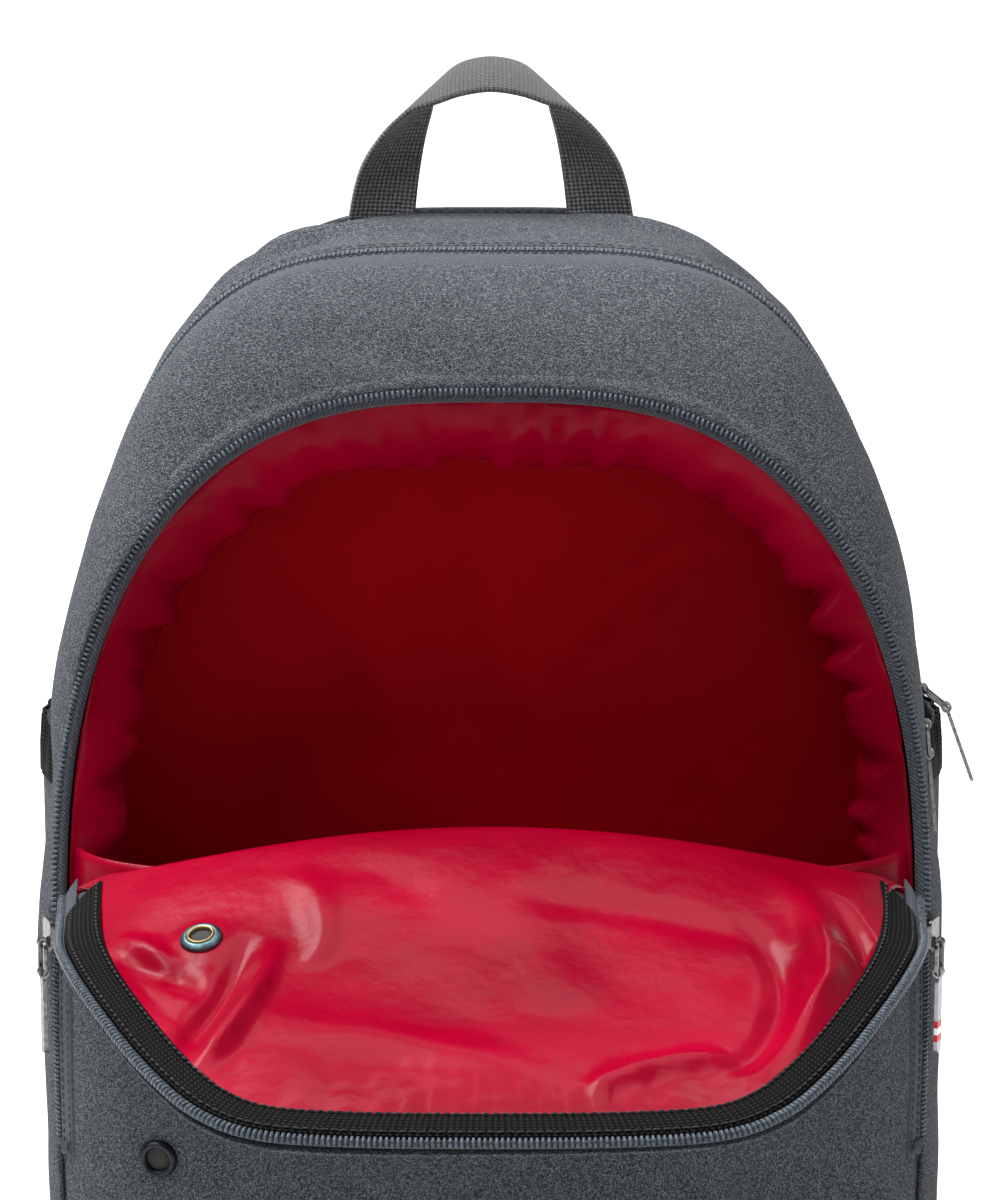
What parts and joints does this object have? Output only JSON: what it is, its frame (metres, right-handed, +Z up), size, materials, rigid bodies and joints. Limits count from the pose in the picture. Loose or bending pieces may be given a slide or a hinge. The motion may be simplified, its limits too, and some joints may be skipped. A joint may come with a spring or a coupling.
{
  "type": "racket backpack",
  "caption": "Tall arched racket backpack with its front shoe compartment unzipped and the flap folded down, red lining, haul loop, side pockets and padded straps.",
  "frame": {"origin": "centre of the base's resting face", "axes": "+Z up along the bag's height, -Y out of the front with the shoe flap, +Y out of the back with the straps, +X to the right seen from the front"},
  "size_m": [0.3566, 0.4112, 0.551],
  "materials": {
    "heather": "heathered woven polyester",
    "lining": "glossy nylon satin",
    "zip_tape": "twill tape",
    "zip_coil": "moulded coil",
    "binding": "black woven binding",
    "webbing": "ribbed webbing",
    "foam": "foam backing",
    "board": "stiffening board",
    "metal": "polished nickel",
    "brass": "worn brass",
    "teal_metal": "dark teal enamel",
    "mesh": "fine mesh",
    "buckle": "moulded buckle"
  },
  "bodies": {
    "root": {"base_panel": "heather", "base_board": "board", "lower_front_wall": "heather", "rear_gusset": "heather", "back_panel": "mesh", "back_foam": "foam", "main_lining": "lining", "racket_sleeve": "lining", "sleeve_binding": "binding", "main_zip_tape_rear": "zip_tape", "main_zip_coil_rear": "zip_coil", "side_pocket_left": "heather", "side_pocket_right": "heather", "back_pad_left": "mesh", "back_pad_right": "mesh", "strap_yoke": "heather", "strap_anchor_left": "heather", "strap_anchor_right": "heather", "lower_webbing_left": "webbing", "lower_webbing_right": "webbing"},
    "front_shell": {"front_yoke": "heather", "front_lower_cover": "heather", "shoe_divider": "lining", "shoe_floor": "lining", "shoe_lining": "lining", "main_zip_tape_front": "zip_tape", "main_zip_coil_front": "zip_coil", "shoe_zip_tape": "zip_tape", "shoe_zip_coil": "zip_coil", "lower_zip_tape_left": "zip_tape", "lower_zip_tape_right": "zip_tape", "lower_zip_coil_left": "zip_coil", "lower_zip_coil_right": "zip_coil", "front_eyelet": "teal_metal", "front_mesh": "mesh"},
    "flap": {"flap_cover": "heather", "flap_lining": "lining", "flap_binding": "binding", "flap_zip_tape": "zip_tape", "flap_zip_coil": "zip_coil", "flap_eyelet": "brass", "flap_mesh": "mesh"},
    "haul_handle": {"haul_handle": "webbing"},
    "strap_left": {"strap_left": "heather", "ladder_lock_left": "buckle"},
    "strap_right": {"strap_right": "heather", "ladder_lock_right": "buckle"},
    "shoe_left_slider": {"shoe_left_slider": "metal"},
    "shoe_left_ring": {"shoe_left_ring": "metal"},
    "shoe_left_pull": {"shoe_left_pull": "metal"},
    "shoe_right_slider": {"shoe_right_slider": "metal"},
    "shoe_right_ring": {"shoe_right_ring": "metal"},
    "shoe_right_pull": {"shoe_right_pull": "metal"},
    "main_upper_slider": {"main_upper_slider": "metal"},
    "main_upper_ring": {"main_upper_ring": "metal"},
    "main_upper_pull": {"main_upper_pull": "metal"},
    "main_lower_slider": {"main_lower_slider": "metal"},
    "main_lower_ring": {"main_lower_ring": "metal"},
    "main_lower_pull": {"main_lower_pull": "metal"}
  },
  "joints": [
    {"name": "main_opening", "type": "hinge", "parent": "root", "child": "front_shell", "pos_m": [0, -0.112, 0.1185], "axis": [1, 0, 0], "range_deg": [0, 25]},
    {"name": "flap_fold", "type": "hinge", "parent": "front_shell", "child": "flap", "pos_m": [0, -0.113, 0.285], "axis": [-1, 0, 0], "range_deg": [-58, 121]},
    {"name": "handle_swing", "type": "hinge", "parent": "root", "child": "haul_handle", "pos_m": [0, 0.088, 0.49], "axis": [1, 0, 0], "range_deg": [-65, 65]},
    {"name": "strap_left_swing", "type": "hinge", "parent": "root", "child": "strap_left", "pos_m": [0, 0.1, 0.452], "axis": [1, 0, 0], "range_deg": [0, 18]},
    {"name": "strap_right_swing", "type": "hinge", "parent": "root", "child": "strap_right", "pos_m": [0, 0.1, 0.452], "axis": [1, 0, 0], "range_deg": [0, 18]},
    {"name": "shoe_left_zip", "type": "slide", "parent": "front_shell", "child": "shoe_left_slider", "axis": [0, 0, -1], "range_m": [0, 0.066]},
    {"name": "shoe_left_ring_swing", "type": "hinge", "parent": "shoe_left_slider", "child": "shoe_left_ring", "pos_m": [-0.16405, -0.08042, 0.246], "axis": [-0.39, 0.9208, 0], "range_deg": [0, 80]},
    {"name": "shoe_left_pull_swing", "type": "hinge", "parent": "shoe_left_ring", "child": "shoe_left_pull", "pos_m": [-0.16405, -0.08042, 0.2346], "axis": [-0.39, 0.9208, 0], "range_deg": [0, 60]},
    {"name": "shoe_right_zip", "type": "slide", "parent": "front_shell", "child": "shoe_right_slider", "axis": [0, 0, -1], "range_m": [0, 0.066]},
    {"name": "shoe_right_ring_swing", "type": "hinge", "parent": "shoe_right_slider", "child": "shoe_right_ring", "pos_m": [0.16405, -0.08042, 0.246], "axis": [-0.39, -0.9208, 0], "range_deg": [0, 80]},
    {"name": "shoe_right_pull_swing", "type": "hinge", "parent": "shoe_right_ring", "child": "shoe_right_pull", "pos_m": [0.16405, -0.08042, 0.2346], "axis": [-0.39, -0.9208, 0], "range_deg": [0, 60]},
    {"name": "main_upper_zip", "type": "slide", "parent": "root", "child": "main_upper_slider", "axis": [-0.1015, 0, 0.9948], "range_m": [0, 0.016]},
    {"name": "main_upper_ring_swing", "type": "hinge", "parent": "main_upper_slider", "child": "main_upper_ring", "pos_m": [0.16332, 0, 0.32058], "axis": [0, -1, 0], "range_deg": [0, 40]},
    {"name": "main_upper_pull_swing", "type": "hinge", "parent": "main_upper_ring", "child": "main_upper_pull", "pos_m": [0.17216, 0, 0.31338], "axis": [0, -1, 0], "range_deg": [0, 50]},
    {"name": "main_lower_zip", "type": "slide", "parent": "root", "child": "main_lower_slider", "axis": [0.1015, 0, -0.9948], "range_m": [0, 0.042]},
    {"name": "main_lower_ring_swing", "type": "hinge", "parent": "main_lower_slider", "child": "main_lower_ring", "pos_m": [0.16475, 0, 0.30658], "axis": [0, -1, 0], "range_deg": [0, 20]},
    {"name": "main_lower_pull_swing", "type": "hinge", "parent": "main_lower_ring", "child": "main_lower_pull", "pos_m": [0.16591, 0, 0.29524], "axis": [0, -1, 0], "range_deg": [0, 25]}
  ]
}
